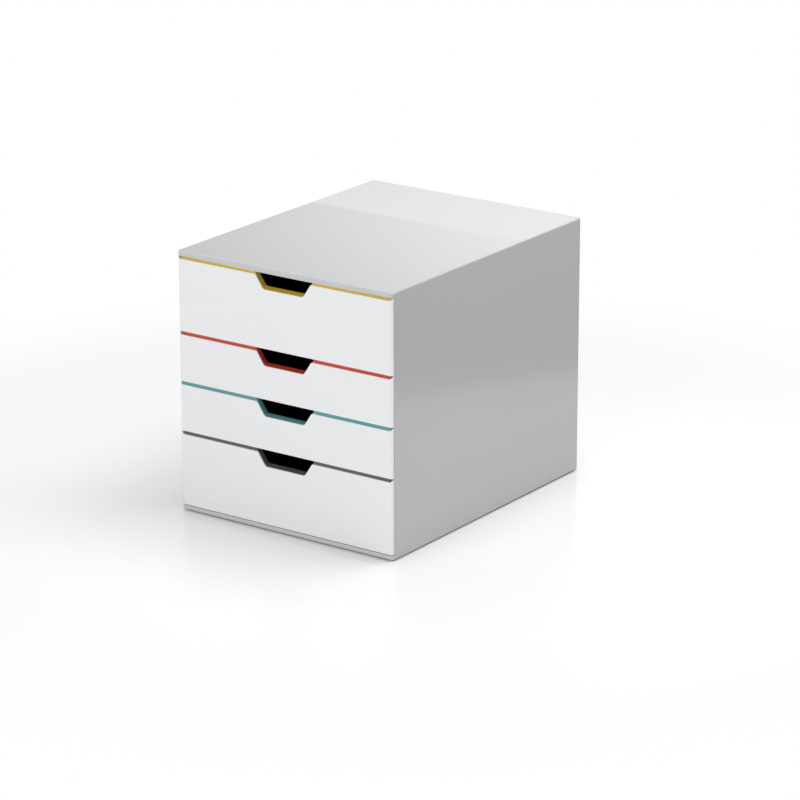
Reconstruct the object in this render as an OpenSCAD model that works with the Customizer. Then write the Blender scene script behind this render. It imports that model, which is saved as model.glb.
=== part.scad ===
// Desktop drawer box for A4 paper and small things.
// A plastic sleeve on four rubber feet holds four drawers, each three or two units high.
// Every drawer is a dark tray, a coloured frame behind its front, and a white front panel
// whose pegs are staked through the other two. A finger notch is cut in the front's top edge.
// Millimetres. X to the right, Y to the back, Z up. The origin is on the table, under the
// middle of the box, and the drawer fronts face -Y.

/* [Casing] */
// Width of the casing and of the drawer fronts
casing_w = 280; // [276:1:300]
// Depth from the drawer fronts to the back
casing_d = 356; // [352:1:380]
// Thickness of the sleeve's walls
wall_t = 2.5; // [2:0.1:2.6]
// Radius of the sleeve's upright corners
corner_r = 3.5; // [3:0.5:5]
// Radius of the sleeve's top edges
edge_r = 1.8; // [1:0.1:2.2]
// Height of the strip over the top drawer
top_strip_h = 5.8; // [5:0.1:6]
// How far the top strip bows down in the middle
strip_sag = 0.6; // [0:0.1:0.8]
// Height of the strip under the bottom drawer
base_strip_h = 4.7; // [4:0.1:5]
// How far the side walls' front edges stand behind the drawer fronts
side_setback = 3.3; // [3.2:0.1:4]
// Width of the sleeve's inward lip round the back opening
rear_lip_w = 10.5; // [9:0.5:16]
// Thickness of that lip
rear_lip_t = 2.5; // [2:0.1:3]
// Thickness of the back panel's flange behind the lip
back_flange_t = 1.5; // [1.2:0.1:2]
// How far the back panel's face stands inside the sleeve's rear edge
back_inset = 1.0; // [0.5:0.1:1.5]

/* [Drawer grid] */
// Height of one drawer unit
unit_h = 28; // [28:0.5:32]
// Units of a tall drawer, at the top and the bottom
tall_units = 3; // [2:1:4]
// Units of a shallow drawer, the two in the middle
shallow_units = 2; // [2:1:3]
// Gap between the base strip and the bottom drawer's front
base_gap = 0.8; // [0.5:0.1:1.2]

/* [Fronts] */
// Gap between one front panel and the next
front_gap = 4; // [3.6:0.1:4.4]
// Thickness of the white front panel
panel_t = 1.5; // [1.2:0.1:1.6]
// How deep the front panel wraps round the sides
panel_wrap = 2.8; // [2.4:0.1:2.8]
// Thickness of the panel's side wraps
wrap_t = 3; // [2.8:0.1:3.2]
// How far the side wraps stand over the panel's top edge
ear_h = 2.6; // [1:0.1:2.6]
// Depth of the drawer front, from the white face to the tray
front_d = 8; // [7.8:0.1:8.2]
// Wall thickness of the coloured frame
frame_t = 1.8; // [1.5:0.1:2]
// Gap between the coloured edge over a front panel and the piece above it
edge_gap = 0.5; // [0.4:0.1:0.8]
// Radius of the pegs that hold the front together
peg_r = 2; // [1.5:0.1:2.5]

/* [Finger notch] */
// Width of the notch at the panel's top edge
notch_top_w = 72; // [66:1:80]
// Width of the notch at its floor
notch_floor_w = 52; // [46:1:56]
// Depth of the notch
notch_h = 15; // [13:0.5:16]
// Radius of the notch's lower corners
notch_r = 5; // [3:0.5:6]
// Radius where the notch meets the top edge
notch_lead_r = 2.5; // [1:0.5:3]
// How far the notch's floor rises towards the back
lip_rise = 1.8; // [0.5:0.1:2.5]

/* [Tray] */
// Width inside the tray
tray_inner_w = 245; // [241:1:245]
// Thickness of the tray's side walls
tray_wall_t = 1.9; // [1.6:0.1:1.9]
// Thickness of the tray's floor, front and rear walls
tray_floor_t = 2; // [1.6:0.1:2.2]
// Radius of the tray's upright corners
tray_r = 6; // [4:0.5:8]
// Pull-out length, up to the stop
travel = 250; // [200:5:260]

/* [Feet] */
// Radius of a rubber foot
foot_r = 8; // [6:0.5:10]
// How far the feet lift the casing off the table
foot_h = 1.5; // [1.3:0.1:2]
// Distance of a foot's centre from the casing's sides, front and back
foot_inset = 20; // [14:1:30]

/* [Hidden] */
$fn = 64;

// Colours, as the photograph shows them
casing_grey = "#c3c4c6";
runner_grey = "#a9abad";
rubber_black = "#2c2c2e";
front_white = "#eceded";
tray_dark = "#3a3b3e";
colour_of = ["#6b666b", "#5c959c", "#b84c38", "#d8ac22"];

// Drawers, counted from the bottom: 0 bottom, 1 lower, 2 upper, 3 top
units_of = [tall_units, shallow_units, shallow_units, tall_units];
function units_below(i) = i == 0 ? 0 : units_of[i - 1] + units_below(i - 1);
function slot_bottom(i) = grid_z + unit_h * units_below(i);
function slot_top(i) = slot_bottom(i) + unit_h * units_of[i];
unit_count = units_below(3) + units_of[3];
// The coloured frame's edge shows as a line in the gap over its front panel
function edge_top(i) = (i == 3 ? strip_z - strip_sag : slot_top(i) + front_gap) - edge_gap;

base_edge_r = 0.8;
base_strip_z = foot_h + base_strip_h;
grid_z = base_strip_z + base_gap - front_gap;
// A gap over the top drawer lets its side wraps pass under the strip
strip_clear = 0.6;
strip_z = grid_z + unit_h * unit_count + ear_h + strip_clear;
overall_h = strip_z + top_strip_h;
casing_h = overall_h - foot_h;

front_y = -casing_d / 2;
side_edge_y = front_y + side_setback;
tray_front_y = front_y + front_d;
inner_w = casing_w - 2 * wall_t;
floor_z = foot_h + wall_t;
ceiling_z = overall_h - wall_t;
back_y = casing_d / 2 - back_inset;
rear_lip_y = casing_d / 2 - rear_lip_t;
back_opening_r = 6;

// Clearances: between fixed pieces, over and under the sliding flange, and beside it
fit_gap = 0.1;
play = 0.3;
side_clear = 0.6;

// Runners: a flange on each side of the tray runs in a groove between two ribs
flange_t = 2.4;
flange_drop = 7.9;        // from the slot's top to the flange's upper face
rib_t = 1.6;
groove_h = flange_t + play + 0.5;
groove_drop = flange_drop + flange_t + play;
frame_plate_t = 2;
frame_inner_x = inner_w / 2 - frame_plate_t;
frame_front_y = tray_front_y + 0.7;
frame_rear_y = rear_lip_y - back_flange_t - fit_gap;
lug_l = 6;
lug_x = frame_inner_x - side_clear;
lug_w = 2.4;
flange_x = lug_x - lug_w;
stop_l = 4;
stop_x = flange_x + side_clear;

// Tray
tray_outer_w = tray_inner_w + 2 * tray_wall_t;
rib_x = tray_outer_w / 2 + 3 * side_clear;
tray_rear_y = frame_rear_y - 10;
rim_drop = 4;             // from the slot's top to the tray's side walls
front_wall_drop = 1.2;    // from the slot's top to the tray's front wall

// Pegs that are staked inside the tray
peg_x = 105;
peg_z = 14;               // from the slot's bottom and top
stake_r = 3.5;
stake_t = 1.2;

// Room inside the wrap for the coloured frame, and how the wrap's ears slope up from the panel
wrap_inner_x = casing_w / 2 - wrap_t;
wrap_inner_r = wrap_t - 1;
ear_run = 2.4;
colour_frame_x = min(inner_w / 2 - side_clear, wrap_inner_x - fit_gap);

far = 500;                // longer than anything that it cuts

// ---- shapes that repeat ----

// A rectangle in the XY plane, centred, with round corners
module rounded_rect(w, d, r) {
    square([w - 2 * r, d], center = true);
    square([w, d - 2 * r], center = true);
    for (x = [-1, 1], y = [-1, 1])
        translate([x * (w / 2 - r), y * (d / 2 - r)]) circle(r);
}

// An upright slab outline from z0 to z1, round at its top and bottom corners
module slab_outline(w, z0, z1, r_bottom, r_top) {
    translate([-w / 2, z0 + r_bottom]) square([w, z1 - z0 - r_bottom - r_top]);
    translate([-w / 2 + r_top, z1 - r_top - fit_gap]) square([w - 2 * r_top, r_top + fit_gap]);
    translate([-w / 2 + r_bottom, z0]) square([w - 2 * r_bottom, r_bottom + fit_gap]);
    for (x = [-1, 1]) {
        translate([x * (w / 2 - r_top), z1 - r_top]) circle(r_top);
        translate([x * (w / 2 - r_bottom), z0 + r_bottom]) circle(r_bottom);
    }
}

// Extrudes a front view, drawn as x and z, from y0 to y1
module extrude_y(y0, y1) {
    translate([0, y1, 0]) rotate([90, 0, 0]) linear_extrude(y1 - y0) children();
}

// Extrudes a side view, drawn as y and z, from x0 to x1
module extrude_x(x0, x1) {
    translate([x0, 0, 0]) rotate([90, 0, 90]) linear_extrude(x1 - x0) children();
}

// Points on an arc from angle a0 to a1
function arc_points(x, y, r, a0, a1, steps = 10) =
    [for (k = [0:steps]) let (a = a0 + (a1 - a0) * k / steps) [x + r * cos(a), y + r * sin(a)]];

// Front view of the finger notch under z = top, larger all round by grow; its slanting sides
// run on over that height by run_on
module notch_outline(top, grow = 0, run_on = 0) {
    slant = atan2((notch_top_w - notch_floor_w) / 2, notch_h);
    side_shift = grow / cos(slant);
    half_top = notch_top_w / 2 + side_shift + run_on * tan(slant);
    half_floor = notch_floor_w / 2 + side_shift - grow * tan(slant);
    floor_y = top - notch_h - grow;
    r = notch_r + grow;
    reach = r * tan((90 - slant) / 2);
    lead_reach = notch_lead_r * tan((90 - slant) / 2);
    above = 6;
    // round lower corner, round lead-in at the top edge, then straight up
    right_side = concat(
        arc_points(half_floor - reach, floor_y + r, r, -90, -slant),
        arc_points(half_top + lead_reach, top + run_on - notch_lead_r, notch_lead_r,
            180 - slant, 90),
        [[half_top + lead_reach, top + above]]);
    left_side = [for (k = [len(right_side) - 1:-1:0]) [-right_side[k][0], right_side[k][1]]];
    polygon(concat(right_side, left_side));
}

// ---- the casing ----

// Closed block with the casing's outer form
module casing_block() {
    intersection() {
        translate([0, 0, foot_h]) linear_extrude(casing_h) rounded_rect(casing_w, casing_d, corner_r);
        extrude_y(-casing_d / 2 - 1, casing_d / 2 + 1)
            slab_outline(casing_w, foot_h, overall_h, base_edge_r, edge_r);
        extrude_x(-casing_w / 2 - 1, casing_w / 2 + 1)
            slab_outline(casing_d, foot_h, overall_h, base_edge_r, edge_r);
    }
}

// Front view of the opening that the drawer fronts fill; its upper edge follows the sagging strip
module front_opening_outline() {
    steps = 12;
    half = casing_w / 2 + 1;
    polygon(concat([[-half, base_strip_z], [half, base_strip_z]],
        [for (i = [0:steps]) let (t = 1 - 2 * i / steps)
            [t * half, strip_z - strip_sag * (1 - t * t)]]));
}

module casing_sleeve() {
    color(casing_grey) difference() {
        casing_block();
        // the inside, and the front opening that the side walls stop short of
        translate([-inner_w / 2, side_edge_y, floor_z])
            cube([inner_w, rear_lip_y - side_edge_y, ceiling_z - floor_z]);
        extrude_y(front_y - 1, side_edge_y + fit_gap) front_opening_outline();
        extrude_y(rear_lip_y - 1, casing_d / 2 + 1) back_opening_outline(0);
        for (x = [-1, 1], y = [-1, 1]) foot_pocket(x, y);
    }
}

// Front view of the opening in the sleeve's rear wall, smaller all round by gap
module back_opening_outline(gap) {
    w = casing_w - 2 * rear_lip_w - 2 * gap;
    h = casing_h - 2 * rear_lip_w - 2 * gap;
    translate([0, foot_h + casing_h / 2]) rounded_rect(w, h, back_opening_r - gap);
}

module foot_pocket(x, y) {
    translate([x * (casing_w / 2 - foot_inset), y * (casing_d / 2 - foot_inset), foot_h - 1])
        cylinder(r = foot_r + fit_gap, h = wall_t / 2 + 1);
}

// Panel that fills the back opening, with a flange behind the sleeve's lip
module back_panel() {
    flange = rear_lip_w - wall_t - 2;
    color(casing_grey) union() {
        extrude_y(rear_lip_y - back_flange_t, back_y) back_opening_outline(fit_gap);
        extrude_y(rear_lip_y - back_flange_t, rear_lip_y) back_opening_outline(-flange);
    }
}

// One side's runners: a plate with a pair of ribs at every unit, and a stop in each groove
module runner_frame(side) {
    color(runner_grey) mirror([side < 0 ? 1 : 0, 0, 0]) {
        extrude_y(frame_front_y, frame_rear_y) {
            translate([frame_inner_x, floor_z])
                square([frame_plate_t, ceiling_z - floor_z - play]);
            for (u = [1:unit_count]) translate([rib_x, grid_z + u * unit_h - groove_drop]) {
                translate([0, -rib_t]) square([frame_inner_x - rib_x + fit_gap, rib_t]);
                translate([0, groove_h]) square([frame_inner_x - rib_x + fit_gap, rib_t]);
            }
        }
        for (u = [1:unit_count])
            translate([stop_x, frame_front_y, grid_z + u * unit_h - groove_drop - fit_gap])
                cube([frame_inner_x - stop_x + fit_gap, stop_l, groove_h + 2 * fit_gap]);
    }
}

// Rubber foot, pressed into its pocket, with a round lower edge
module foot(x, y) {
    round_r = 0.6;
    top = foot_h + wall_t / 2;
    color(rubber_black)
        translate([x * (casing_w / 2 - foot_inset), y * (casing_d / 2 - foot_inset), 0])
            rotate_extrude() {
                square([foot_r - round_r, top]);
                translate([0, round_r]) square([foot_r, top - round_r]);
                translate([foot_r - round_r, round_r]) circle(round_r);
            }
}

// ---- the drawers ----

// Places a child at each of the four pegs of drawer i
module at_pegs(i) {
    for (x = [-peg_x, peg_x], z = [slot_bottom(i) + peg_z, slot_top(i) - peg_z])
        translate([x, 0, z]) children();
}

// A cylinder along Y from y0 to y1
module rod_y(r, y0, y1) {
    translate([0, y1, 0]) rotate([90, 0, 0]) cylinder(r = r, h = y1 - y0);
}

// Open box with a running flange and a stop lug on each side
module drawer_tray(i) {
    bottom = slot_bottom(i) + front_gap;
    rim = slot_top(i) - rim_drop;
    length = tray_rear_y - tray_front_y;
    middle_y = (tray_rear_y + tray_front_y) / 2;
    inner_r = tray_r - tray_wall_t;
    flange_z = slot_top(i) - flange_drop - flange_t;
    color(tray_dark) difference() {
        union() {
            translate([0, middle_y, bottom]) linear_extrude(rim - bottom) union() {
                rounded_rect(tray_outer_w, length, tray_r);
                // square front corners, where the tray meets the front
                translate([-tray_outer_w / 2, -length / 2]) square([tray_outer_w, tray_r]);
            }
            // the front wall stands higher than the sides
            translate([-tray_outer_w / 2, tray_front_y, bottom])
                cube([tray_outer_w, tray_floor_t, slot_top(i) - front_wall_drop - bottom]);
            for (side = [0, 1]) mirror([side, 0, 0]) {
                translate([tray_outer_w / 2 - 1, tray_front_y + 4, flange_z])
                    cube([flange_x - tray_outer_w / 2 + 1, length - 4 - tray_r, flange_t]);
                translate([flange_x - 1, frame_front_y + stop_l + travel + play, flange_z])
                    cube([lug_x - flange_x + 1, lug_l, flange_t]);
            }
        }
        translate([0, middle_y, bottom + tray_floor_t]) linear_extrude(unit_h * units_of[i])
            rounded_rect(tray_inner_w, length - 2 * tray_floor_t, inner_r);
        extrude_y(tray_front_y - 1, tray_front_y + tray_floor_t + 1) notch_outline(slot_top(i), 1.5);
        at_pegs(i) rod_y(peg_r + fit_gap, tray_front_y - 1, tray_front_y + tray_floor_t + 1);
    }
}

// Coloured frame: a web with a rim all round, also along the notch, open to the back. Its upper
// edge fills the gap over the front panel.
module drawer_colour_frame(i) {
    y0 = front_y + panel_t + fit_gap;
    y1 = tray_front_y - fit_gap;
    half = colour_frame_x;
    z0 = slot_bottom(i) + front_gap + panel_t + fit_gap;
    z1 = edge_top(i);
    run_on = z1 - slot_top(i);
    color(colour_of[i]) union() {
        difference() {
            translate([0, 0, z0]) linear_extrude(z1 - z0) difference() {
                translate([-half, y0]) square([2 * half, y1 - y0]);
                for (x = [-1, 1]) front_corner_cut(x * half, y0, wrap_inner_r);
            }
            difference() {
                translate([-half + frame_t, y0 + frame_t, z0 + frame_t])
                    cube([2 * (half - frame_t), front_d, z1 - z0 - 2 * frame_t]);
                extrude_y(y0, y1 + 1) notch_outline(slot_top(i), frame_t, run_on);
                at_pegs(i) rod_y(peg_r + 2, y0, y1 - fit_gap);
            }
            extrude_y(y0 - 1, y1 + 1) notch_outline(slot_top(i), 0, run_on);
            at_pegs(i) rod_y(peg_r + fit_gap, y0 - 1, y1 + 1);
        }
        // the notch's floor rises to the back, as a lip for the fingers
        intersection() {
            extrude_y(y0, y1) notch_outline(slot_top(i), fit_gap);
            extrude_x(-notch_floor_w / 2 - lip_rise, notch_floor_w / 2 + lip_rise)
                polygon([[y0, slot_top(i) - notch_h], [y1, slot_top(i) - notch_h + lip_rise],
                    [y1, slot_top(i) - notch_h - fit_gap], [y0, slot_top(i) - notch_h - fit_gap]]);
        }
    }
}

// What rounding takes off an upright front corner whose tip is at x, y
module front_corner_cut(x, y, r) {
    s = sign(x);
    difference() {
        translate([s > 0 ? x - r : x - 1, y - 1]) square([r + 1, r + 1]);
        translate([x - s * r, y + r]) circle(r);
    }
}

// White panel, wrapped round the sides and the bottom, with four pegs behind it
module drawer_front_panel(i) {
    half = casing_w / 2;
    inner = wrap_inner_x;
    z0 = slot_bottom(i) + front_gap;
    z1 = slot_top(i);
    wrap_y = front_y + panel_wrap;
    color(front_white) {
        difference() {
            translate([0, 0, z0]) linear_extrude(z1 + ear_h - z0) difference() {
                translate([-half, front_y]) square([2 * half, panel_wrap]);
                for (x = [-1, 1]) front_corner_cut(x * half, front_y, corner_r);
            }
            // room for the coloured frame
            translate([0, 0, z0 + panel_t]) linear_extrude(far) difference() {
                translate([-inner, front_y + panel_t]) square([2 * inner, far]);
                for (x = [-1, 1]) front_corner_cut(x * inner, front_y + panel_t, wrap_inner_r);
            }
            // between the ears of the side wraps the panel ends at the slot's top
            extrude_y(front_y - 1, wrap_y + 1) ear_gap_outline(z1);
            extrude_y(front_y - 1, front_y + panel_t + 1) notch_outline(z1);
        }
        at_pegs(i) {
            rod_y(peg_r, front_y + panel_t - fit_gap, tray_front_y + tray_floor_t + fit_gap);
            rod_y(stake_r, tray_front_y + tray_floor_t, tray_front_y + tray_floor_t + stake_t);
        }
    }
}

// Front view of the space over the panel's top edge at height z, between the sloping ears
module ear_gap_outline(z) {
    low = wrap_inner_x - 0.4;
    polygon([[-low, z], [low, z], [low + ear_run, z + ear_h], [low + ear_run, z + ear_h + 1],
        [-low - ear_run, z + ear_h + 1], [-low - ear_run, z + ear_h]]);
}

casing_sleeve();
back_panel();
runner_frame(-1);  // runner_frame_left
runner_frame(1);  // runner_frame_right
foot(-1, -1);  // foot_front_left
foot(1, -1);  // foot_front_right
foot(-1, 1);  // foot_rear_left
foot(1, 1);  // foot_rear_right
drawer_tray(3);  // top_drawer_tray
drawer_colour_frame(3);  // top_drawer_colour_frame
drawer_front_panel(3);  // top_drawer_front_panel
drawer_tray(2);  // upper_drawer_tray
drawer_colour_frame(2);  // upper_drawer_colour_frame
drawer_front_panel(2);  // upper_drawer_front_panel
drawer_tray(1);  // lower_drawer_tray
drawer_colour_frame(1);  // lower_drawer_colour_frame
drawer_front_panel(1);  // lower_drawer_front_panel
drawer_tray(0);  // bottom_drawer_tray
drawer_colour_frame(0);  // bottom_drawer_colour_frame
drawer_front_panel(0);  // bottom_drawer_front_panel
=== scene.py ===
"""The looks of a desktop drawer box: a light grey plastic casing with four white-fronted drawers.

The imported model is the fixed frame. Each visible moulding is modelled again here, with its
soft edges, and takes the place of the plain solid under it. Lengths are metres; MM turns
millimetres into them. X is to the right, Y to the back, and the drawers open towards -Y.
"""

from __future__ import annotations

import logging
import math
from contextlib import contextmanager
from dataclasses import dataclass
from enum import Enum
from typing import Any, Callable, Iterator, Sequence

import bmesh
import bpy
from mathutils import Matrix, Vector

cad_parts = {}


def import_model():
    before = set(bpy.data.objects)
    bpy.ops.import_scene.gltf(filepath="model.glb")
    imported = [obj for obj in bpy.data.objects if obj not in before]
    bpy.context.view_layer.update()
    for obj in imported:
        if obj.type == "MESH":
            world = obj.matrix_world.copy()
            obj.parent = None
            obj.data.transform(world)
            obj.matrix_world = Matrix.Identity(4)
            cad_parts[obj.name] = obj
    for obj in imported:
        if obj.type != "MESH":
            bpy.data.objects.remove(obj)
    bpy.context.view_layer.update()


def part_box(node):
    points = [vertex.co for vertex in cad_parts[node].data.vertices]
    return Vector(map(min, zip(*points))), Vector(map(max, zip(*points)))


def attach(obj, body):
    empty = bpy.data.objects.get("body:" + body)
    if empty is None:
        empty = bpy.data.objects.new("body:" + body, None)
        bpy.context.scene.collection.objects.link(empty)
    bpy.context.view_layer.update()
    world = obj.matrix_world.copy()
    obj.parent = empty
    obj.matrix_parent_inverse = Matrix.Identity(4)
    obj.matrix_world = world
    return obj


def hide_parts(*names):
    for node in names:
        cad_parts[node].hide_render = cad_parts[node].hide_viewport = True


MM = 0.001
HAIR = 0.02 * MM  # two places closer than this are the same place
OVERLAP = 1 * MM  # how far a solid reaches into or past the one that it cuts or joins
TOUCH = 0.1 * MM  # the same, where there is little room
PLAY = 0.1 * MM  # room round a peg, foot or panel in its hole
FINE_BREAK = 0.05 * MM  # softness of the edges that are already rounded
ALONG = 0.9  # a direction with a larger share of an axis runs along it
LOG = logging.getLogger("drawer_box")

Point = Sequence[float]  # x, y and z
PartTest = Callable[[Vector, Vector], bool]  # takes a middle, and a direction or a normal


def linear(hex_colour: str) -> tuple[float, float, float, float]:
    """Turns an sRGB hex colour into linear RGBA.

    Args:
        hex_colour: six hex digits with a leading #.

    Returns:
        Red, green, blue and an alpha of 1.
    """
    channels = [int(hex_colour[k : k + 2], 16) / 255 for k in (1, 3, 5)]
    made = [c / 12.92 if c <= 0.04045 else ((c + 0.055) / 1.055) ** 2.4 for c in channels]
    return (made[0], made[1], made[2], 1.0)


def add_node(
    tree: bpy.types.NodeTree, kind: str, settings: dict[Any, Any], links: dict[Any, Any]
) -> bpy.types.Node:
    """Adds a node with its settings and links.

    Args:
        tree: the node tree.
        kind: the node's type name.
        settings: values by input name, input number or attribute name.
        links: output sockets by input name or number.

    Returns:
        The new node.
    """
    node = tree.nodes.new(kind)
    for key, value in settings.items():
        if isinstance(key, int) or key in node.inputs:
            node.inputs[key].default_value = value
        else:
            setattr(node, key, value)
    for key, socket in links.items():
        tree.links.new(socket, node.inputs[key])
    return node


def new_tree(material: bpy.types.Material) -> bpy.types.NodeTree:
    """Empties a material's node tree.

    Args:
        material: the material.

    Returns:
        Its tree.
    """
    material.use_nodes = True
    material.node_tree.nodes.clear()
    return material.node_tree


# ---- finishes ----


@dataclass(frozen=True)
class MouldedPlastic:
    """A thermoplastic injected into a steel mould.

    The steel's spark-eroded grain gives it a satin gloss, shrinkage leaves the large faces
    very slightly wavy, and the melt's flow shifts its shade a little from place to place.

    Attributes:
        name: the material's name.
        colour: sRGB hex colour.
        roughness: roughness of the satin surface.
        gloss_shift: how far the grain makes it rougher and smoother.
        ior: index of refraction.
        grain: spacing of the mould's grain, drawn coarse enough to show.
        grain_depth: depth of the grain.
        wave: distance from one shrinkage hollow to the next.
        wave_depth: depth of the hollows.
        shade_shift: how far the flow lightens or darkens the colour, as a share.
    """

    name: str
    colour: str
    roughness: float
    ior: float = 1.54
    gloss_shift: float = 0.03
    grain: float = 1.4 * MM
    grain_depth: float = 0.004 * MM
    wave: float = 85 * MM
    wave_depth: float = 0.06 * MM
    shade_shift: float = 0.012

    def material(self) -> bpy.types.Material:
        """Builds the material.

        Returns:
            The node material, on Object coordinates.
        """
        made = bpy.data.materials.new(self.name)
        tree = new_tree(made)
        place = add_node(tree, "ShaderNodeTexCoord", {}, {}).outputs["Object"]
        flow, grain, hollows = (
            add_node(
                tree,
                "ShaderNodeTexNoise",
                {"Scale": 1 / size, "Detail": detail, "Roughness": 0.5},
                {"Vector": place},
            ).outputs["Fac"]
            for size, detail in ((2 * self.wave, 2), (self.grain, 3), (self.wave, 1))
        )
        shade = add_node(
            tree,
            "ShaderNodeMapRange",
            {"To Min": 1 - self.shade_shift, "To Max": 1 + self.shade_shift},
            {"Value": flow},
        )
        colour = add_node(
            tree,
            "ShaderNodeHueSaturation",
            {"Color": linear(self.colour)},
            {"Value": shade.outputs["Result"]},
        )
        gloss = add_node(
            tree,
            "ShaderNodeMapRange",
            {
                "To Min": self.roughness - self.gloss_shift,
                "To Max": self.roughness + self.gloss_shift,
            },
            {"Value": grain},
        )
        waves = add_node(
            tree, "ShaderNodeBump", {"Distance": self.wave_depth}, {"Height": hollows}
        )
        relief = add_node(
            tree,
            "ShaderNodeBump",
            {"Distance": self.grain_depth},
            {"Height": grain, "Normal": waves.outputs["Normal"]},
        )
        shader = add_node(
            tree,
            "ShaderNodeBsdfPrincipled",
            {"IOR": self.ior},
            {
                "Base Color": colour.outputs["Color"],
                "Roughness": gloss.outputs["Result"],
                "Normal": relief.outputs["Normal"],
            },
        )
        add_node(tree, "ShaderNodeOutputMaterial", {}, {"Surface": shader.outputs["BSDF"]})
        return made


# Polystyrene from a finely polished mould mirrors the studio softly.
CASING_GREY = MouldedPlastic("polystyrene_moulded_light_grey", "#c2c4c5", 0.16)
# ABS from a spark-eroded mould has a closed, milky satin, here and on the coloured frames.
FRONT_WHITE = MouldedPlastic("abs_moulded_white", "#e9eaec", 0.34)
# The trays' mould is coarser, so the dark polystyrene shows no reflections.
TRAY_ANTHRACITE = MouldedPlastic("polystyrene_moulded_anthracite", "#2b2c2f", 0.42)
# Polypropylene lets drawers slide without grease, and looks waxy.
RUNNER_GREY = MouldedPlastic("polypropylene_moulded_grey", "#a9abad", 0.45, ior=1.49)
# The rubber's own bloom leaves the feet dull.
FOOT_RUBBER = MouldedPlastic(
    "thermoplastic_rubber_black", "#2c2c2e", 0.75, ior=1.5, grain=0.9 * MM, grain_depth=0.02 * MM
)


class DrawerPlace(Enum):
    """The four drawers, each with the finish of its coloured frame."""

    TOP = MouldedPlastic("abs_moulded_yellow", "#dbb61d", 0.32)
    UPPER = MouldedPlastic("abs_moulded_red", "#bf3f25", 0.32)
    LOWER = MouldedPlastic("abs_moulded_teal", "#559aa0", 0.32)
    BOTTOM = MouldedPlastic("abs_moulded_taupe", "#5b565c", 0.32)

    @property
    def prefix(self) -> str:
        """The start of the names of this drawer's nodes."""
        return self.name.lower() + "_drawer"

    @property
    def slot(self) -> str:
        """The record's material slot of the coloured frame."""
        return self.value.name.replace("abs_moulded", "frame")


# ---- modelling by hand ----


class Pick(Enum):
    """What edit mode selects."""

    VERTS = "VERT"
    EDGES = "EDGE"
    FACES = "FACE"


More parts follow.
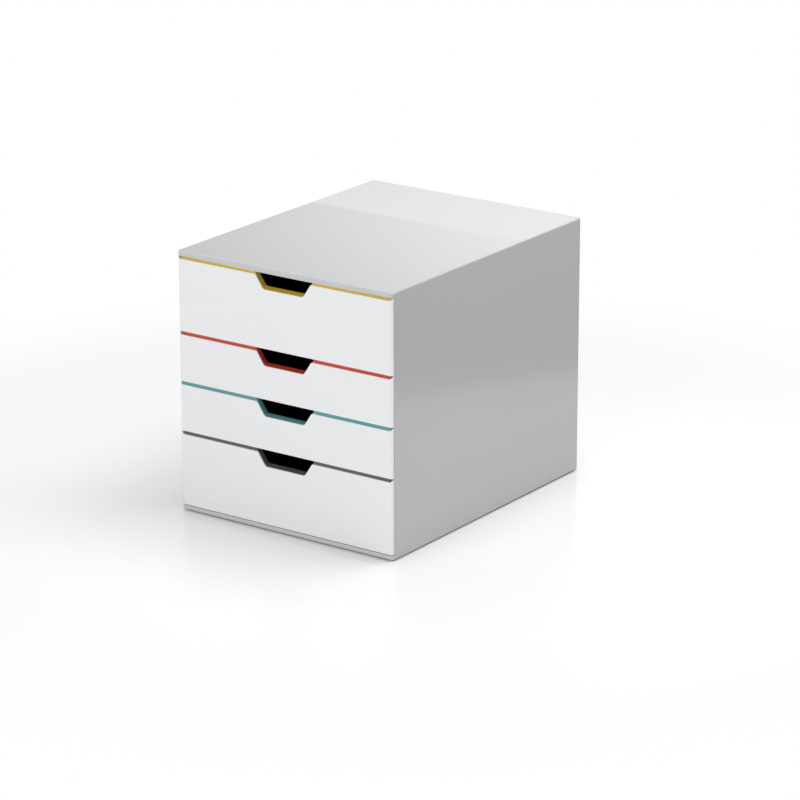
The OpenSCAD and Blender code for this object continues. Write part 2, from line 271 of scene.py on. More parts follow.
class Solid:
    """A closed mesh that is being shaped, with the operations used on it."""

    def __init__(self, obj: bpy.types.Object, name: str) -> None:
        """Takes over a new primitive and applies its place, so the object sits at the origin.

        Args:
            obj: the primitive, which is the active object.
            name: its new name.
        """
        self.obj = obj
        obj.name = name
        bpy.ops.object.transform_apply(location=True, rotation=True, scale=True)

    @classmethod
    def box(cls, name: str, low: Point, high: Point) -> Solid:
        """A box between two corners.

        Args:
            name: its name.
            low: its lowest corner.
            high: its highest corner.

        Returns:
            The box.
        """
        centre = (Vector(low) + Vector(high)) / 2
        size = Vector(high) - Vector(low)
        bpy.ops.object.select_all(action="DESELECT")
        bpy.ops.mesh.primitive_cube_add(size=1, location=centre, scale=size)
        return cls(bpy.context.object, name)

    @classmethod
    def rod(cls, name: str, start: Point, end: Point, radius: float, sides: int = 32) -> Solid:
        """A cylinder between two points.

        Args:
            name: its name.
            start: middle of one end.
            end: middle of the other end.
            radius: its radius.
            sides: number of its side faces.

        Returns:
            The cylinder.
        """
        way = Vector(end) - Vector(start)
        bpy.ops.object.select_all(action="DESELECT")
        bpy.ops.mesh.primitive_cylinder_add(
            vertices=sides,
            radius=radius,
            depth=way.length,
            location=(Vector(start) + Vector(end)) / 2,
            rotation=way.to_track_quat("Z", "Y").to_euler(),
        )
        return cls(bpy.context.object, name)

    @contextmanager
    def editing(self, pick: Pick) -> Iterator[bmesh.types.BMesh]:
        """Edit mode with nothing selected.

        Args:
            pick: what is selected.

        Yields:
            The edit mesh.
        """
        self._make_active()
        bpy.ops.object.mode_set(mode="EDIT")
        bpy.ops.mesh.select_mode(type=pick.value)
        bpy.ops.mesh.select_all(action="DESELECT")
        yield bmesh.from_edit_mesh(self.obj.data)
        bpy.ops.object.mode_set(mode="OBJECT")

    def _make_active(self) -> None:
        """Makes this the only selected object."""
        bpy.ops.object.select_all(action="DESELECT")
        self.obj.select_set(True)
        bpy.context.view_layer.objects.active = self.obj

    def round_edges(self, test: PartTest, offset: float, segments: int) -> Solid:
        """Rounds the edges for which test holds.

        Args:
            test: takes an edge's middle and its direction.
            offset: how far the rounding reaches from the edge, which is its radius on a
                square corner.
            segments: steps of the rounding.

        Returns:
            This solid.
        """
        with self.editing(Pick.EDGES) as mesh:
            for edge in mesh.edges:
                start, end = (v.co for v in edge.verts)
                edge.select_set(test((start + end) / 2, (end - start).normalized()))
            bpy.ops.mesh.bevel(offset=offset, segments=segments, affect="EDGES")
        return self

    def select_faces(self, mesh: bmesh.types.BMesh, test: PartTest) -> None:
        """Selects the faces for whose centre and normal test holds."""
        for face in mesh.faces:
            face.select_set(test(face.calc_center_median(), face.normal))

    def move_verts(self, test: Callable[[Vector], bool], way: Point) -> Solid:
        """Moves the vertices for which test holds.

        Args:
            test: takes a vertex's place.
            way: how far they move.

        Returns:
            This solid.
        """
        with self.editing(Pick.VERTS) as mesh:
            for vert in mesh.verts:
                vert.select_set(test(vert.co))
            bpy.ops.transform.translate(value=way)
        return self

    def split(self, point: Point, normal: Point, keep_behind: bool = False) -> Solid:
        """Cuts the mesh along a plane.

        Args:
            point: a point on the plane.
            normal: the plane's normal.
            keep_behind: removes what is in front of the plane and closes the cut.

        Returns:
            This solid.
        """
        with self.editing(Pick.FACES):
            bpy.ops.mesh.select_all(action="SELECT")
            bpy.ops.mesh.bisect(
                plane_co=point, plane_no=normal, use_fill=keep_behind, clear_outer=keep_behind
            )
        return self

    def _combine(self, how: str, others: tuple[Solid, ...]) -> Solid:
        """Combines other solids into this one, in their order, and deletes them.

        Args:
            how: the Boolean operation.
            others: the other solids.

        Returns:
            This solid.
        """
        for other in others:
            self._make_active()
            modifier = self.obj.modifiers.new("combine", "BOOLEAN")
            modifier.operation = how
            modifier.solver = "EXACT"
            modifier.object = other.obj
            bpy.ops.object.modifier_apply(modifier=modifier.name)
            bpy.data.objects.remove(other.obj)
        return self

    def cut(self, *others: Solid) -> Solid:
        """Takes other solids away from this one."""
        return self._combine("DIFFERENCE", others)

    def weld(self, *others: Solid) -> Solid:
        """Adds other solids to this one."""
        return self._combine("UNION", others)

    def copied(self, name: str) -> Solid:
        """A copy with its own mesh.

        Args:
            name: the copy's name.

        Returns:
            The copy.
        """
        self._make_active()
        bpy.ops.object.duplicate()
        return Solid(bpy.context.object, name)

    def mirrored(self, name: str) -> Solid:
        """A copy on the other side of the middle plane, X = 0, with its faces outwards.

        Args:
            name: the copy's name.

        Returns:
            The copy.
        """
        made = self.copied(name)
        with made.editing(Pick.VERTS):
            bpy.ops.mesh.select_all(action="SELECT")
            bpy.ops.transform.resize(value=(-1, 1, 1), center_override=(0, 0, 0))
            bpy.ops.mesh.normals_make_consistent(inside=False)
        return made

    def soften(self, width: float, segments: int = 2, angle: float = 35) -> Solid:
        """Rounds all the sharp edges that are left and shades the surface smooth.

        Args:
            width: how far the rounding reaches from each edge.
            segments: steps of the rounding.
            angle: edges that turn by more than this many degrees are sharp.

        Returns:
            This solid.
        """
        flat = 0.5  # faces that turn by fewer degrees are one face
        margin = 10  # edges are shaded sharp only from this many degrees more
        with self.editing(Pick.VERTS):
            bpy.ops.mesh.select_all(action="SELECT")
            bpy.ops.mesh.remove_doubles(threshold=HAIR)
            bpy.ops.mesh.dissolve_limited(angle_limit=math.radians(flat))
        bevel = self.obj.modifiers.new("soft_edges", "BEVEL")
        bevel.width = width
        bevel.segments = segments
        bevel.limit_method = "ANGLE"
        bevel.angle_limit = math.radians(angle)
        bevel.miter_outer = "MITER_ARC"
        bpy.ops.object.modifier_apply(modifier=bevel.name)
        bpy.ops.object.shade_smooth_by_angle(angle=math.radians(angle + margin))
        weighted = self.obj.modifiers.new("flat_faces", "WEIGHTED_NORMAL")
        weighted.keep_sharp = True
        bpy.ops.object.modifier_apply(modifier=weighted.name)
        return self

    def hand_over(self, node: str, body: str, slot: str, material: bpy.types.Material) -> None:
        """Dresses the finished piece and puts it in the place of its plain solid.

        Args:
            node: the node that the piece stands for.
            body: the body that it rides on.
            slot: the record's material slot; not used.
            material: its material.
        """
        self.obj.data.materials.clear()
        self.obj.data.materials.append(material)
        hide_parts(node)
        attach(self.obj, body)
        LOG.info("%s: %d faces for %s", self.obj.name, len(self.obj.data.polygons), node)


def tapered_slab(
    name: str, lower_half: float, upper_half: float, low: Vector, high: Vector
) -> Solid:
    """A slab whose front view is a trapezium, centred on X = 0.

    Args:
        name: the solid's name.
        lower_half: half its width at the bottom.
        upper_half: half its width at the top.
        low: its lowest y and z.
        high: its highest y and z.

    Returns:
        The slab.
    """
    slab = Solid.box(name, (-upper_half, low.y, low.z), (upper_half, high.y, high.z))
    for side in (-1, 1):
        slab.move_verts(
            lambda co: co.z < low.z + HAIR and co.x * side > 0,
            (side * (lower_half - upper_half), 0, 0),
        )
    return slab


# ---- the casing ----


@dataclass
class Casing:
    """The fixed part: sleeve, back panel, runner frames and feet.

    Attributes:
        wall: thickness of the sleeve's walls.
        corner_radius: radius of the upright corners.
        edge_radius: radius of the top edges.
        base_edge_radius: radius of the bottom edges.
        top_strip: height of the strip over the top drawer.
        strip_sag: how far that strip bows down in the middle.
        base_strip: height of the strip under the bottom drawer.
        side_setback: how far the side walls' front edges stand behind the fronts.
        rear_lip: width of the inward lip round the back opening.
        rear_lip_depth: thickness of that lip.
        rear_corner: radius of the back opening's corners.
        flange_depth: thickness of the back panel's flange.
        edge_break: softness of all other edges.
        foot_edge: radius of a foot's lower edge.
        foot_upper_edge: radius of its upper edge.
        body: the body that it belongs to.
    """

    wall: float = 2.5 * MM
    corner_radius: float = 3.5 * MM
    edge_radius: float = 1.8 * MM
    base_edge_radius: float = 0.8 * MM
    top_strip: float = 5.8 * MM
    strip_sag: float = 0.6 * MM
    base_strip: float = 4.7 * MM
    side_setback: float = 3.3 * MM
    rear_lip: float = 10.5 * MM
    rear_lip_depth: float = 2.5 * MM
    rear_corner: float = 6 * MM
    flange_depth: float = 1.5 * MM
    edge_break: float = 0.3 * MM
    foot_edge: float = 0.6 * MM
    foot_upper_edge: float = 0.2 * MM
    body: str = "casing"

    def build(self) -> None:
        """Models and dresses every piece of the casing."""
        self._build_sleeve()
        self._build_back_panel()
        self._build_feet()
        self._dress_runner_frames()

    def _build_sleeve(self) -> None:
        """The sleeve: a rounded block, hollowed, opened at both ends and over the feet."""
        low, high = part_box("casing_sleeve")
        shell = Solid.box("sleeve", low, high)
        shell.round_edges(lambda mid, way: abs(way.z) > ALONG, self.corner_radius, segments=6)
        shell.round_edges(lambda mid, way: mid.z > high.z - HAIR, self.edge_radius, segments=5)
        shell.round_edges(lambda mid, way: mid.z < low.z + HAIR, self.base_edge_radius, segments=3)
        side_edge = low.y + self.side_setback
        lip = high.y - self.rear_lip_depth
        inner = high.x - self.wall
        hollow = Solid.box(
            "hollow", (-inner, side_edge, low.z + self.wall), (inner, lip, high.z - self.wall)
        )
        shell.cut(hollow, self._front_opening(low, high, side_edge), self._back_opening(low, high))
        for foot in self._foot_nodes():
            foot_low, foot_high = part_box(foot)
            x, y, _ = (foot_low + foot_high) / 2
            radius = (foot_high.x - foot_low.x) / 2 + PLAY
            ends = (x, y, low.z - self.wall), (x, y, foot_high.z)
            shell.cut(Solid.rod("pocket", *ends, radius))
        shell.soften(self.edge_break)
        shell.hand_over("casing_sleeve", self.body, "casing_grey", CASING_GREY.material())

    def _front_opening(self, low: Vector, high: Vector, side_edge: float) -> Solid:
        """The space that the drawer fronts fill, with the top strip's slight sag above it.

        Args:
            low: the sleeve's lowest corner.
            high: its highest corner.
            side_edge: y of the side walls' front edges.

        Returns:
            The space, ready to be cut away.
        """
        strip_z = high.z - self.top_strip
        opening = Solid.box(
            "front_opening",
            (low.x - OVERLAP, low.y - OVERLAP, low.z + self.base_strip),
            (high.x + OVERLAP, side_edge + TOUCH, strip_z),
        )
        steps = 12  # straight pieces of the sagging edge
        half = high.x + OVERLAP
        shares = [2 * k / steps - 1 for k in range(1, steps)]
        for t in shares:
            opening.split((t * half, 0, 0), (1, 0, 0))
        for t in shares:
            opening.move_verts(
                lambda co: co.z > strip_z - HAIR and abs(co.x - t * half) < HAIR,
                (0, 0, -self.strip_sag * (1 - t * t)),
            )
        return opening

    def _back_opening(self, low: Vector, high: Vector) -> Solid:
        """The space inside the rear lip.

        Args:
            low: the sleeve's lowest corner.
            high: its highest corner.

        Returns:
            The space, ready to be cut away.
        """
        lip = high.y - self.rear_lip_depth
        opening = Solid.box(
            "back_opening",
            (low.x + self.rear_lip, lip - OVERLAP, low.z + self.rear_lip),
            (high.x - self.rear_lip, high.y + OVERLAP, high.z - self.rear_lip),
        )
        return opening.round_edges(
            lambda mid, way: abs(way.y) > ALONG, self.rear_corner, segments=6
        )

    def _build_back_panel(self) -> None:
        """The back panel: a flange behind the lip, and a face that fills the opening."""
        low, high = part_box("back_panel")
        _, sleeve_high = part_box("casing_sleeve")
        step = high.x - (sleeve_high.x - self.rear_lip) + PLAY
        flange_y = low.y + self.flange_depth
        panel = Solid.box("rear_panel", low, (high.x, flange_y, high.z))
        panel.round_edges(
            lambda mid, way: abs(way.y) > ALONG, self.rear_corner + step, segments=6
        )
        with panel.editing(Pick.FACES) as mesh:
            panel.select_faces(mesh, lambda mid, normal: normal.y > ALONG)
            bpy.ops.mesh.inset(thickness=step, depth=0)
            bpy.ops.mesh.extrude_region_move(
                TRANSFORM_OT_translate={"value": (0, high.y - flange_y, 0)}
            )
        panel.soften(self.edge_break)
        grey = bpy.data.materials[CASING_GREY.name]
        panel.hand_over("back_panel", self.body, "casing_grey", grey)

    def _foot_nodes(self) -> list[str]:
        """The names of the four feet's nodes."""
        return [f"foot_{end}_{side}" for end in ("front", "rear") for side in ("left", "right")]

    def _build_feet(self) -> None:
        """The feet: one disc with a soft lower edge, copied to its four places."""
        material = FOOT_RUBBER.material()
        nodes = self._foot_nodes()
        low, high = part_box(nodes[0])
        x, y, _ = (low + high) / 2
        ends = (x, y, low.z), (x, y, high.z)
        pattern = Solid.rod("foot_pattern", *ends, (high.x - low.x) / 2, sides=40)
        pattern.round_edges(lambda mid, way: mid.z < low.z + HAIR, self.foot_edge, segments=4)
        pattern.round_edges(
            lambda mid, way: mid.z > high.z - HAIR, self.foot_upper_edge, segments=2
        )
        for node in nodes:
            node_low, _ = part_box(node)
            foot = pattern.copied(node.replace("foot", "rubber_foot"))
            foot.move_verts(lambda co: True, node_low - low)
            foot.soften(FINE_BREAK, segments=1, angle=60)
            foot.hand_over(node, self.body, "foot_rubber", material)
        bpy.data.objects.remove(pattern.obj)

    def _dress_runner_frames(self) -> None:
        """The runner frames keep their own meshes and take the grey polypropylene."""
        material = RUNNER_GREY.material()
        for side in ("left", "right"):
            node = bpy.data.objects[f"runner_frame_{side}"]
            node.data.materials.clear()
            node.data.materials.append(material)
            LOG.info("%s: own mesh, %s", node.name, material.name)


# ---- the drawers ----


@dataclass
class FingerNotch:
    """The notch with sloping sides in the top edge of a drawer's front.

    Attributes:
        top_width: width at the panel's top edge.
        floor_width: width at its floor.
        height: its depth below the top edge.
        radius: radius of its lower corners.
        lead_radius: radius where it meets the top edge.
    """

    top_width: float = 72 * MM
    floor_width: float = 52 * MM
    height: float = 15 * MM
    radius: float = 5 * MM
    lead_radius: float = 2.5 * MM

    @property
    def slope(self) -> float:
        """How far each side leans out per unit of height."""
        return (self.top_width - self.floor_width) / 2 / self.height

    @property
    def turn(self) -> float:
        """Reach of a rounding of radius 1 where a side meets the floor or the top edge."""
        return math.tan((math.pi / 2 - math.atan(self.slope)) / 2)

    def cutter(
        self, top: float, front: float, back: float, grow: float = 0, rise: float = 0
    ) -> Solid:
        """The space of the notch.

        Args:
            top: height of the panel's top edge.
            front: y where the space starts.
            back: y where it ends.
            grow: how much larger it is all round.
            rise: how much higher its floor lies at the back end than at the front end.

        Returns:
            A slab with rounded lower corners that runs past the top edge.
        """
        above = 6 * MM  # past the highest piece that it cuts
        side_shift = grow * math.hypot(1, self.slope)
        floor_half = self.floor_width / 2 + side_shift - grow * self.slope
        floor_z = top - self.height - grow
        upper_half = floor_half + (top + above - floor_z) * self.slope
        low = Vector((0, front, floor_z))
        high = Vector((0, back, top + above))
        slab = tapered_slab("notch_space", floor_half, upper_half, low, high)
        for side in (-1, 1):
            slab.move_verts(
                lambda co: co.y > back - HAIR and co.z < floor_z + HAIR and co.x * side > 0,
                (side * rise * self.slope, 0, rise),
            )
        return slab.round_edges(
            lambda mid, way: abs(way.y) > ALONG and mid.z < floor_z + rise / 2 + HAIR,
            (self.radius + grow) * self.turn,
            segments=8,
        )

    def round_lead_ins(self, piece: Solid, top: float, run_on: float = 0) -> None:
        """Rounds the two corners where the notch meets a piece's top edge.

        Args:
            piece: the piece.
            top: height of the panel's top edge.
            run_on: how far the piece's own top edge stands over that.
        """
        half = self.top_width / 2 + run_on * self.slope
        near = 2 * MM  # how close to the corner its edge lies
        piece.round_edges(
            lambda mid, way: abs(way.y) > ALONG
            and abs(mid.z - top - run_on) < HAIR
            and abs(abs(mid.x) - half) < near,
            self.lead_radius * self.turn,
            segments=5,
        )


@dataclass
class Drawer:
    """One drawer: tray, coloured frame and front panel, which slide together.

    Attributes:
        place: which drawer it is.
        notch: its finger notch.
        corner_radius: radius of the front panel's upright corners.
        panel: thickness of the white front panel.
        wrap: how deep the panel wraps round the sides.
        wrap_thickness: thickness of those wraps.
        inner_radius: radius inside the panel's corners, and of the frame behind them.
        ear: how far the wraps stand over the panel's top edge.
        ear_run: how far the ears slope outwards over that height.
        ear_step: how much wider an ear's foot is than the wrap.
        frame_wall: wall thickness of the coloured frame.
        frame_break: softness of its edges.
        lip_rise: how far the notch's floor rises to the back.
        peg_radius: radius of the pegs.
        boss_wall: wall thickness of the frame's bosses round the pegs.
        peg_x: distance of a peg from the middle.
        peg_drop: height of a peg over the slot's bottom, and its depth below the slot's top.
        stake_radius: radius of a peg's staked head.
        stake: thickness of that head.
        tray_wall: thickness of the tray's sides.
        tray_floor: thickness of its floor, front and rear.
        tray_radius: radius of its rear corners.
        tray_fillet: radius where its floor meets its sides.
        tray_break: softness of its edges.
        tray_notch_room: how far its own notch stays clear of the frame's.
        rim_drop: depth of its side rims below the slot's top.
        flange: thickness of the running flange.
        flange_drop: depth of the flange's upper face below the slot's top.
        tray_half: half the tray's width without the flanges.
        flange_half: half its width with the flanges.
        flange_start: distance of the flanges from the tray's front.
        lug_start: distance of the stop lugs from the tray's front.
        lug_length: length of a stop lug.
        front_gap: gap under the drawer's front.
        edge_break: softness of the visible edges.
    """

    place: DrawerPlace
    notch: FingerNotch
    corner_radius: float = 3.5 * MM
    panel: float = 1.5 * MM
    wrap: float = 2.8 * MM
    wrap_thickness: float = 3 * MM
    inner_radius: float = 2 * MM
    ear: float = 2.6 * MM
    ear_run: float = 2.4 * MM
    ear_step: float = 0.4 * MM
    frame_wall: float = 1.8 * MM
    frame_break: float = 0.25 * MM
    lip_rise: float = 1.8 * MM
    peg_radius: float = 2 * MM
    boss_wall: float = 2 * MM
    peg_x: float = 105 * MM
    peg_drop: float = 14 * MM
    stake_radius: float = 3.5 * MM
    stake: float = 1.2 * MM
    tray_wall: float = 1.9 * MM
    tray_floor: float = 2 * MM
    tray_radius: float = 6 * MM
    tray_fillet: float = 1.5 * MM
    tray_break: float = 0.3 * MM
    tray_notch_room: float = 1.5 * MM
    rim_drop: float = 4 * MM
    flange: float = 2.4 * MM
    flange_drop: float = 7.9 * MM
    tray_half: float = 124.4 * MM
    flange_half: float = 132.5 * MM
    flange_start: float = 4 * MM
    lug_start: float = 255 * MM
    lug_length: float = 6 * MM
    front_gap: float = 4 * MM
    edge_break: float = 0.35 * MM

    def build(self) -> None:
        """Models and dresses the drawer's three pieces."""
        self._build_front_panel()
        self._build_colour_frame()
        self._build_tray()

    @property
    def top(self) -> float:
        """Height of the slot's top, which is the front panel's top edge."""
        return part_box(f"{self.place.prefix}_front_panel")[1].z - self.ear

    @property
    def body(self) -> str:
        """The body that the drawer's pieces ride on."""
        return self.place.prefix

    def _peg_places(self) -> list[tuple[float, float]]:
        """Works out where the four pegs are.

        Returns:
            x and z of each.
        """
        slot_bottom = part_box(f"{self.place.prefix}_front_panel")[0].z - self.front_gap
        heights = (slot_bottom + self.peg_drop, self.top - self.peg_drop)
        return [(x, z) for x in (-self.peg_x, self.peg_x) for z in heights]

    def _peg_rods(self, radius: float, front: float, back: float) -> list[Solid]:
        """Rods along Y at the four pegs.

        Args:
            radius: their radius.
            front: y of their front ends.
            back: y of their back ends.

        Returns:
            The rods.
        """
        return [
            Solid.rod("peg", (x, front, z), (x, back, z), radius, sides=24)
            for x, z in self._peg_places()
        ]

    def _build_front_panel(self) -> None:
        """The white panel, its side wraps with their ears, and the staked pegs behind it."""
        node = f"{self.place.prefix}_front_panel"
        low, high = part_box(node)
        inner = high.x - self.wrap_thickness
        deep = 4 * self.corner_radius

        def front_corners(mid: Vector, way: Vector) -> bool:
            """Whether an edge is one of the two upright ones in front."""
            return abs(way.z) > ALONG and mid.y < low.y + deep / 2

        panel = Solid.box(f"{self.place.prefix}_front", low, (high.x, low.y + deep, high.z))
        panel.round_edges(front_corners, self.corner_radius, segments=8)
        panel.split((0, low.y + self.wrap, 0), (0, 1, 0), keep_behind=True)
        room = Solid.box(
            "room",
            (-inner, low.y + self.panel, low.z + self.panel),
            (inner, low.y + self.panel + deep, high.z + deep),
        )
        room.round_edges(front_corners, self.inner_radius, segments=6)
        ear_foot = inner - self.ear_step
        between_ears = tapered_slab(
            "between_ears",
            ear_foot,
            ear_foot + 2 * self.ear_run,
            Vector((0, low.y - deep, self.top)),
            Vector((0, low.y + deep, self.top + 2 * self.ear)),
        )
        notch = self.notch.cutter(self.top, low.y - OVERLAP, low.y + self.wrap + OVERLAP)
        panel.cut(room, between_ears, notch)
        self.notch.round_lead_ins(panel, self.top)
        panel.soften(self.edge_break)
        stake_front = high.y - self.stake
        pegs = self._peg_rods(self.peg_radius, low.y + self.panel - TOUCH, high.y - TOUCH)
        heads = self._peg_rods(self.stake_radius, stake_front, high.y)
        for head in heads:
            head.round_edges(lambda mid, way: mid.y > high.y - HAIR, self.stake / 2, segments=3)
            head.soften(FINE_BREAK, segments=1, angle=60)
        self._join(panel, pegs + heads)
        panel.hand_over(node, self.body, "front_white", FRONT_WHITE.material())

    def _join(self, piece: Solid, others: list[Solid]) -> None:
        """Joins other solids into a piece's mesh.

        Args:
            piece: the piece.
            others: the other solids, which only touch it.
        """
        bpy.ops.object.select_all(action="DESELECT")
        for other in others:
            other.obj.select_set(True)
        piece.obj.select_set(True)
        bpy.context.view_layer.objects.active = piece.obj
        bpy.ops.object.join()

    def _build_colour_frame(self) -> None:
        """The coloured frame: a web with a rim all round, and the rising lip of the notch."""
        node = f"{self.place.prefix}_colour_frame"
        low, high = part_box(node)
        wall = self.frame_wall
        deep = high.y - low.y
        frame = Solid.box(f"{self.place.prefix}_colour_rim", low, high)
        frame.round_edges(
            lambda mid, way: abs(way.z) > ALONG and mid.y < low.y + HAIR,
            self.inner_radius,
            segments=5,
        )
        hollow = Solid.box(
            "hollow",
            (low.x + wall, low.y + wall, low.z + wall),
            (high.x - wall, high.y + deep, high.z - wall),
        )
        hollow.cut(self.notch.cutter(self.top, low.y, high.y + 2 * deep, wall))
        bosses = self._peg_rods(self.peg_radius + self.boss_wall, low.y, high.y - TOUCH)
        hollow.cut(*bosses)
        notch = self.notch.cutter(self.top, low.y, low.y + 2 * deep, rise=2 * self.lip_rise)
        frame.cut(hollow, notch)
        self.notch.round_lead_ins(frame, self.top, high.z - self.top)
        frame.cut(*self._peg_rods(self.peg_radius + PLAY, low.y - OVERLAP, high.y + OVERLAP))
        frame.soften(self.frame_break)
        frame.hand_over(node, self.body, self.place.slot, self.place.value.material())

    def _build_tray(self) -> None:
        """The open tray with its running flanges and stop lugs."""
        node = f"{self.place.prefix}_tray"
        low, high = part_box(node)
        rim = self.top - self.rim_drop
        half = self.tray_half
        tray = Solid.box(f"{self.place.prefix}_box", (-half, low.y, low.z), (half, high.y, rim))
        tray.round_edges(
            lambda mid, way: abs(way.z) > ALONG and mid.y > 0, self.tray_radius, segments=6
        )
        wall_back = low.y + self.tray_floor
        tray.split((0, wall_back, 0), (0, 1, 0))
        with tray.editing(Pick.FACES) as mesh:
            tray.select_faces(mesh, lambda mid, normal: normal.z > ALONG and mid.y < wall_back)
            lift = {"value": (0, 0, high.z - rim)}
            bpy.ops.mesh.extrude_region_move(TRANSFORM_OT_translate=lift)
        inner = half - self.tray_wall
        floor_top = low.z + self.tray_floor
        room = Solid.box(
            "room",
            (-inner, wall_back, floor_top),
            (inner, high.y - self.tray_floor, high.z + OVERLAP),
        )
        inner_radius = self.tray_radius - self.tray_wall
        room.round_edges(lambda mid, way: abs(way.z) > ALONG, inner_radius, segments=6)
        room.round_edges(lambda mid, way: mid.z < floor_top + HAIR, self.tray_fillet, segments=3)
        front, back = low.y - OVERLAP, wall_back + OVERLAP
        notch = self.notch.cutter(self.top, front, back, self.tray_notch_room)
        tray.cut(room, notch)
        tray.cut(*self._peg_rods(self.peg_radius + PLAY, front, back))
        flange_top = self.top - self.flange_drop
        flange_low = flange_top - self.flange
        flange = Solid.box(
            "flange",
            (half - OVERLAP, low.y + self.flange_start, flange_low),
            (self.flange_half, high.y - self.tray_radius, flange_top),
        )
        lug_front = low.y + self.lug_start
        lug = Solid.box(
            "lug",
            (self.flange_half - OVERLAP, lug_front, flange_low),
            (high.x, lug_front + self.lug_length, flange_top),
        )
        flange.weld(lug)
        tray.weld(flange.mirrored("flange_left"), flange)
        tray.soften(self.tray_break)
        tray.hand_over(node, self.body, "tray_anthracite", TRAY_ANTHRACITE.material())


# ---- the studio ----


@dataclass(frozen=True)
class Softbox:
    """A square lamp that faces the object.

    Attributes:
        name: its name.
        azimuth: its direction round the object, in degrees from the front.
        elevation: its height angle, in degrees.
        distance: its distance from the object's middle.
        side: its side length.
        power: its power in watts.
        mirrored: whether reflections show it.
        aim: height of the place that it faces.
    """

    name: str
    azimuth: float
    elevation: float
    distance: float
    side: float
    power: float
    mirrored: bool = True
    aim: float = 0.15

    def build(self) -> None:
        """Adds the lamp."""
        back = direction(self.azimuth, self.elevation)
        data = bpy.data.lights.new(self.name, "AREA")
        data.size = self.side
        data.energy = self.power
        lamp = bpy.data.objects.new(self.name, data)
        lamp.location = Vector((0, 0, self.aim)) + back * self.distance
        lamp.rotation_euler = back.to_track_quat("Z", "Y").to_euler()
        lamp.visible_glossy = self.mirrored
        bpy.context.scene.collection.objects.link(lamp)


@dataclass(frozen=True)
class ReflectionCard:
    """An upright card over the object that only reflections show, lighter towards its foot.

    Attributes:
        low: its lowest x, y and z.
        high: its highest x and z, with the same y.
        rise: direction in which it darkens.
        start: how far along that direction from the origin it starts to darken.
        end: how far along it is darkest.
        light: its strength at the start.
        dark: its strength at the end.
    """

    low: tuple[float, float, float] = (-0.8, 0.07, 0.2955)
    high: tuple[float, float, float] = (0.35, 0.07, 0.65)
    rise: tuple[float, float, float] = (-0.34, 0.0, 0.94)
    start: float = 0.22
    end: float = 0.47
    light: float = 0.92
    dark: float = 0.35

    def build(self) -> None:
        """Adds the card."""
        low, high = Vector(self.low), Vector(self.high)
        bpy.ops.mesh.primitive_plane_add(
            size=1, location=(low + high) / 2, rotation=(math.pi / 2, 0, 0)
        )
        card = bpy.context.object
        card.name = "rear_card"
        card.scale = (high.x - low.x, high.z - low.z, 1)
        bpy.ops.object.transform_apply(location=True, rotation=True, scale=True)
        for kind in ("camera", "diffuse", "transmission", "volume_scatter", "shadow"):
            setattr(card, f"visible_{kind}", False)
        material = bpy.data.materials.new("card_graduated")
        tree = new_tree(material)
        strength = graduated(tree, self.rise, (self.start, self.end), (self.light, self.dark))
        shade = add_node(tree, "ShaderNodeEmission", {}, {"Strength": strength})
        add_node(tree, "ShaderNodeOutputMaterial", {}, {"Surface": shade.outputs[0]})
        card.data.materials.append(material)


def direction(azimuth: float, elevation: float) -> Vector:
    """The direction from the object to a place round it.

    Args:
        azimuth: degrees round the object from its front, to the right.
        elevation: degrees above the floor.

    Returns:
        A unit vector.
    """
    azimuth, elevation = math.radians(azimuth), math.radians(elevation)
    level = math.cos(elevation)
    return Vector(
        (math.sin(azimuth) * level, -math.cos(azimuth) * level, math.sin(elevation))
    )


def graduated(
    tree: bpy.types.NodeTree,
    way: tuple[float, float, float],
    reach: tuple[float, float],
    values: tuple[float, float],
) -> bpy.types.NodeSocket:
    """A value that changes along one direction of the object's coordinates.

    Args:
        tree: the node tree.
        way: the direction.
        reach: where along it the change starts and ends.
        values: the value before the start and after the end.

    Returns:
        The value's socket.
    """
    place = add_node(tree, "ShaderNodeTexCoord", {}, {}).outputs["Object"]
    along = add_node(
        tree, "ShaderNodeVectorMath", {"operation": "DOT_PRODUCT", 1: way}, {0: place}
    )
    names = ("From Min", "From Max", "To Min", "To Max")
    settings = dict(zip(names, (*reach, *values)))
    change = add_node(tree, "ShaderNodeMapRange", settings, {"Value": along.outputs["Value"]})
    return change.outputs["Result"]


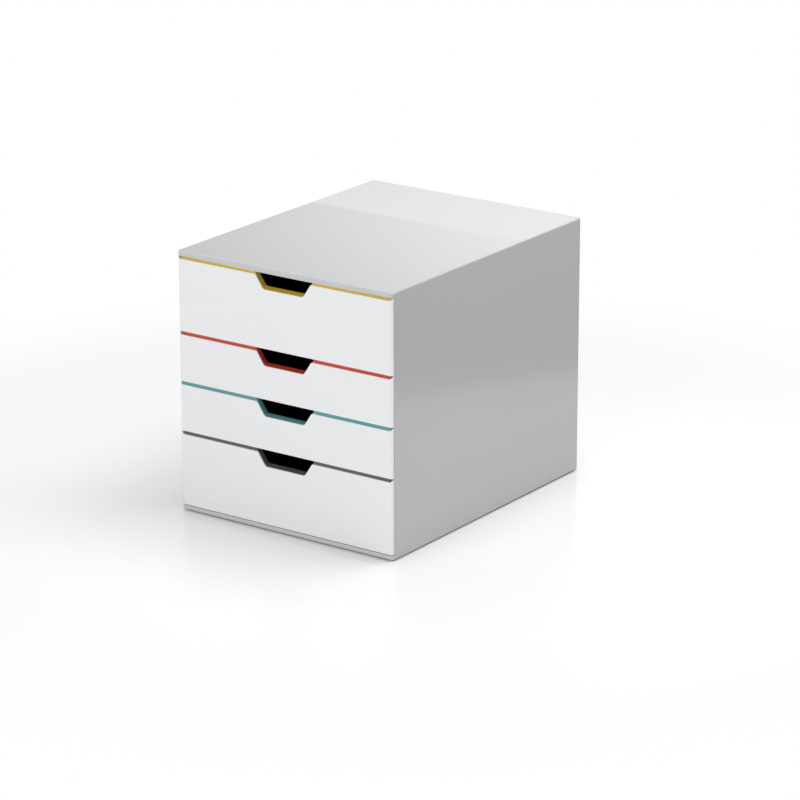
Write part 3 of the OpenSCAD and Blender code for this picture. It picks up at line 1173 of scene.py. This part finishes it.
@dataclass
class Studio:
    """Camera, white surroundings, floor, lamps and a card that only reflections show.

    Attributes:
        azimuth: the camera's direction round the object, in degrees from its front.
        elevation: its height angle, in degrees.
        roll: its tilt, in degrees.
        focal: focal length in pixels of a picture that is picture pixels wide.
        picture: that width.
        place: where it stands.
        sensor: width of its sensor in millimetres.
        clip: nearest and farthest distance that it shows.
        ambient: strength of the even light from all round.
        floor_colour: sRGB hex colour of the near floor.
        floor_roughness: its roughness under and beyond the object.
        floor_crisp: distance at which its reflections start to blur.
        floor_blurred: distance at which they are fully blurred.
        floor_near: distance at which the floor starts to fade into white.
        floor_far: distance at which it is white.
        floor_lift: light added to the near floor where the camera sees it.
        floor_painted_shadow_reach: distance over which that added light is taken off the floor
            near the object, a painted contact shadow.
        floor_bounce: strength of the light that the white part of the floor throws back.
        floor_end: direction and distance of the line behind which reflections of the floor
            are dark, as if it ended there.
        floor_dark: strength of those reflections.
        floor_edge: half the width over which that line is soft.
        floor_radius: radius of the floor.
        floor_drop: how far it lies under the feet, so that the two don't coincide.
        lamps: the softboxes.
        card: the card over the object.
    """

    azimuth: float = 35.348
    elevation: float = 18.260
    roll: float = -0.077
    focal: float = 3638.1
    picture: float = 800
    place: tuple[float, float, float] = (2.1963, -3.0642, 1.3471)
    sensor: float = 36
    clip: tuple[float, float] = (0.1, 60)
    ambient: float = 0.46
    floor_colour: str = "#efefef"
    floor_roughness: tuple[float, float] = (0.08, 0.4)
    floor_crisp: float = 0.2
    floor_blurred: float = 0.46
    floor_near: float = 0.42
    floor_far: float = 0.8
    floor_lift: float = 0.11
    floor_painted_shadow_reach: float = 60 * MM
    floor_bounce: float = 0.77
    floor_end: tuple[tuple[float, float, float], float] = ((0.875, 0.484, 0.0), 0.522)
    floor_dark: float = 0.05
    floor_edge: float = 5 * MM
    floor_radius: float = 6
    floor_drop: float = 0.05 * MM
    lamps: tuple[Softbox, ...] = (
        Softbox("front_softbox", 0, 18, 1.9, 1.6, 14.3, mirrored=False),
        Softbox("top_right_softbox", 120, 70, 1.1, 0.6, 7.8),
        Softbox("top_left_softbox", 210, 70, 1.1, 0.6, 1.0),
    )
    card: ReflectionCard = ReflectionCard()

    def build(self) -> None:
        """Sets up everything round the object, with colours shown as they are written."""
        bpy.context.scene.view_settings.view_transform = "Standard"
        self._add_camera()
        self._add_world()
        self._add_floor()
        for lamp in self.lamps:
            lamp.build()
        self.card.build()

    def _add_camera(self) -> None:
        """The camera at the photograph's viewing angle."""
        azimuth = math.radians(self.azimuth)
        right = Vector((math.cos(azimuth), math.sin(azimuth), 0))
        back = direction(self.azimuth, self.elevation)
        turn = Matrix((right, back.cross(right), back)).transposed()
        turn = turn @ Matrix.Rotation(math.radians(self.roll), 3, "Z")
        data = bpy.data.cameras.new("camera")
        data.sensor_width = self.sensor
        data.lens = self.focal / self.picture * self.sensor
        data.clip_start, data.clip_end = self.clip
        camera = bpy.data.objects.new("camera", data)
        camera.matrix_world = Matrix.Translation(self.place) @ turn.to_4x4()
        bpy.context.scene.collection.objects.link(camera)
        bpy.context.scene.camera = camera

    def _strength(
        self, tree: bpy.types.NodeTree, reflected: bpy.types.NodeSocket | float, light: float
    ) -> bpy.types.NodeSocket:
        """The strength of white surroundings, by the kind of ray that meets them.

        Args:
            tree: the node tree.
            reflected: the strength in reflections.
            light: the strength as light on other surfaces.

        Returns:
            The strength's socket, which is 1 to the camera and through glass.
        """
        rays = add_node(tree, "ShaderNodeLightPath", {}, {})
        total = rays.outputs["Is Camera Ray"]
        shares = {"Is Transmission Ray": 1.0, "Is Glossy Ray": reflected, "Is Diffuse Ray": light}
        for kind, share in shares.items():
            settings: dict[Any, Any] = {"operation": "MULTIPLY_ADD"}
            links = {0: rays.outputs[kind], 2: total}
            (settings if isinstance(share, float) else links)[1] = share
            total = add_node(tree, "ShaderNodeMath", settings, links).outputs["Value"]
        return total

    def _add_world(self) -> None:
        """White to the camera and in reflections, and a soft even light on everything else."""
        world = bpy.data.worlds.new("studio")
        world.use_nodes = True
        tree = world.node_tree
        tree.nodes.clear()
        strength = self._strength(tree, 1.0, self.ambient)
        white = add_node(
            tree, "ShaderNodeBackground", {"Color": (1, 1, 1, 1)}, {"Strength": strength}
        )
        add_node(tree, "ShaderNodeOutputWorld", {}, {"Surface": white.outputs[0]})
        bpy.context.scene.world = world

    def _add_floor(self) -> None:
        """The floor, a disc just under the feet."""
        bpy.ops.mesh.primitive_circle_add(
            vertices=64,
            radius=self.floor_radius,
            fill_type="NGON",
            location=(0, 0, -self.floor_drop),
        )
        floor = bpy.context.object
        floor.name = "floor"
        floor.data.materials.append(self._floor_material())

    def _floor_material(self) -> bpy.types.Material:
        """A white glossy surface that keeps the object's shadow, has a painted contact shadow
        round its foot, and fades into the white.

        Returns:
            The material.
        """
        material = bpy.data.materials.new("floor_white")
        tree = new_tree(material)
        place = add_node(tree, "ShaderNodeTexCoord", {}, {}).outputs["Object"]
        away = add_node(tree, "ShaderNodeVectorMath", {"operation": "LENGTH"}, {0: place})
        fade, gloss = (
            add_node(
                tree,
                "ShaderNodeMapRange",
                {
                    "From Min": start,
                    "From Max": end,
                    "To Min": first,
                    "To Max": last,
                    "interpolation_type": "SMOOTHSTEP",
                },
                {"Value": away.outputs["Value"]},
            ).outputs["Result"]
            for start, end, first, last in (
                (self.floor_near, self.floor_far, 0, 1),
                (self.floor_crisp, self.floor_blurred, *self.floor_roughness),
            )
        )
        rays = add_node(tree, "ShaderNodeLightPath", {}, {})
        way, end = self.floor_end
        reach = (end - self.floor_edge, end + self.floor_edge)
        past_end = graduated(tree, way, reach, (0, 1))
        darkened = add_node(
            tree,
            "ShaderNodeMath",
            {"operation": "MULTIPLY"},
            {0: rays.outputs["Is Glossy Ray"], 1: past_end},
        )
        share = add_node(
            tree,
            "ShaderNodeMath",
            {"operation": "MAXIMUM"},
            {0: fade, 1: darkened.outputs["Value"]},
        )
        # Painted contact shadow: the light added for the camera fades out near the object,
        # darkening the floor round its foot.
        painted_shadow_ao = add_node(
            tree, "ShaderNodeAmbientOcclusion", {"samples": 16, "Distance": self.floor_painted_shadow_reach}, {}
        )
        lift_under_painted_shadow = add_node(
            tree,
            "ShaderNodeMath",
            {"operation": "MULTIPLY"},
            {0: rays.outputs["Is Camera Ray"], 1: painted_shadow_ao.outputs["AO"]},
        )
        lit = add_node(
            tree,
            "ShaderNodeBsdfPrincipled",
            {
                "Base Color": linear(self.floor_colour),
                "Emission Color": (*[self.floor_lift] * 3, 1),
            },
            {"Roughness": gloss, "Emission Strength": lift_under_painted_shadow.outputs["Value"]},
        )
        reflected = graduated(tree, way, reach, (1, self.floor_dark))
        strength = self._strength(tree, reflected, self.floor_bounce)
        white = add_node(tree, "ShaderNodeEmission", {}, {"Strength": strength})
        mix = add_node(
            tree,
            "ShaderNodeMixShader",
            {},
            {0: share.outputs["Value"], 1: lit.outputs[0], 2: white.outputs[0]},
        )
        add_node(tree, "ShaderNodeOutputMaterial", {}, {"Surface": mix.outputs[0]})
        return material


def main() -> None:
    """Builds the drawer box and the studio round it."""
    logging.basicConfig(level=logging.INFO, format="%(name)s %(message)s")
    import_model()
    bpy.ops.object.select_all(action="DESELECT")
    Casing().build()
    for place in DrawerPlace:
        Drawer(place, FingerNotch()).build()
    Studio().build()


if __name__ == "__main__":
    main()
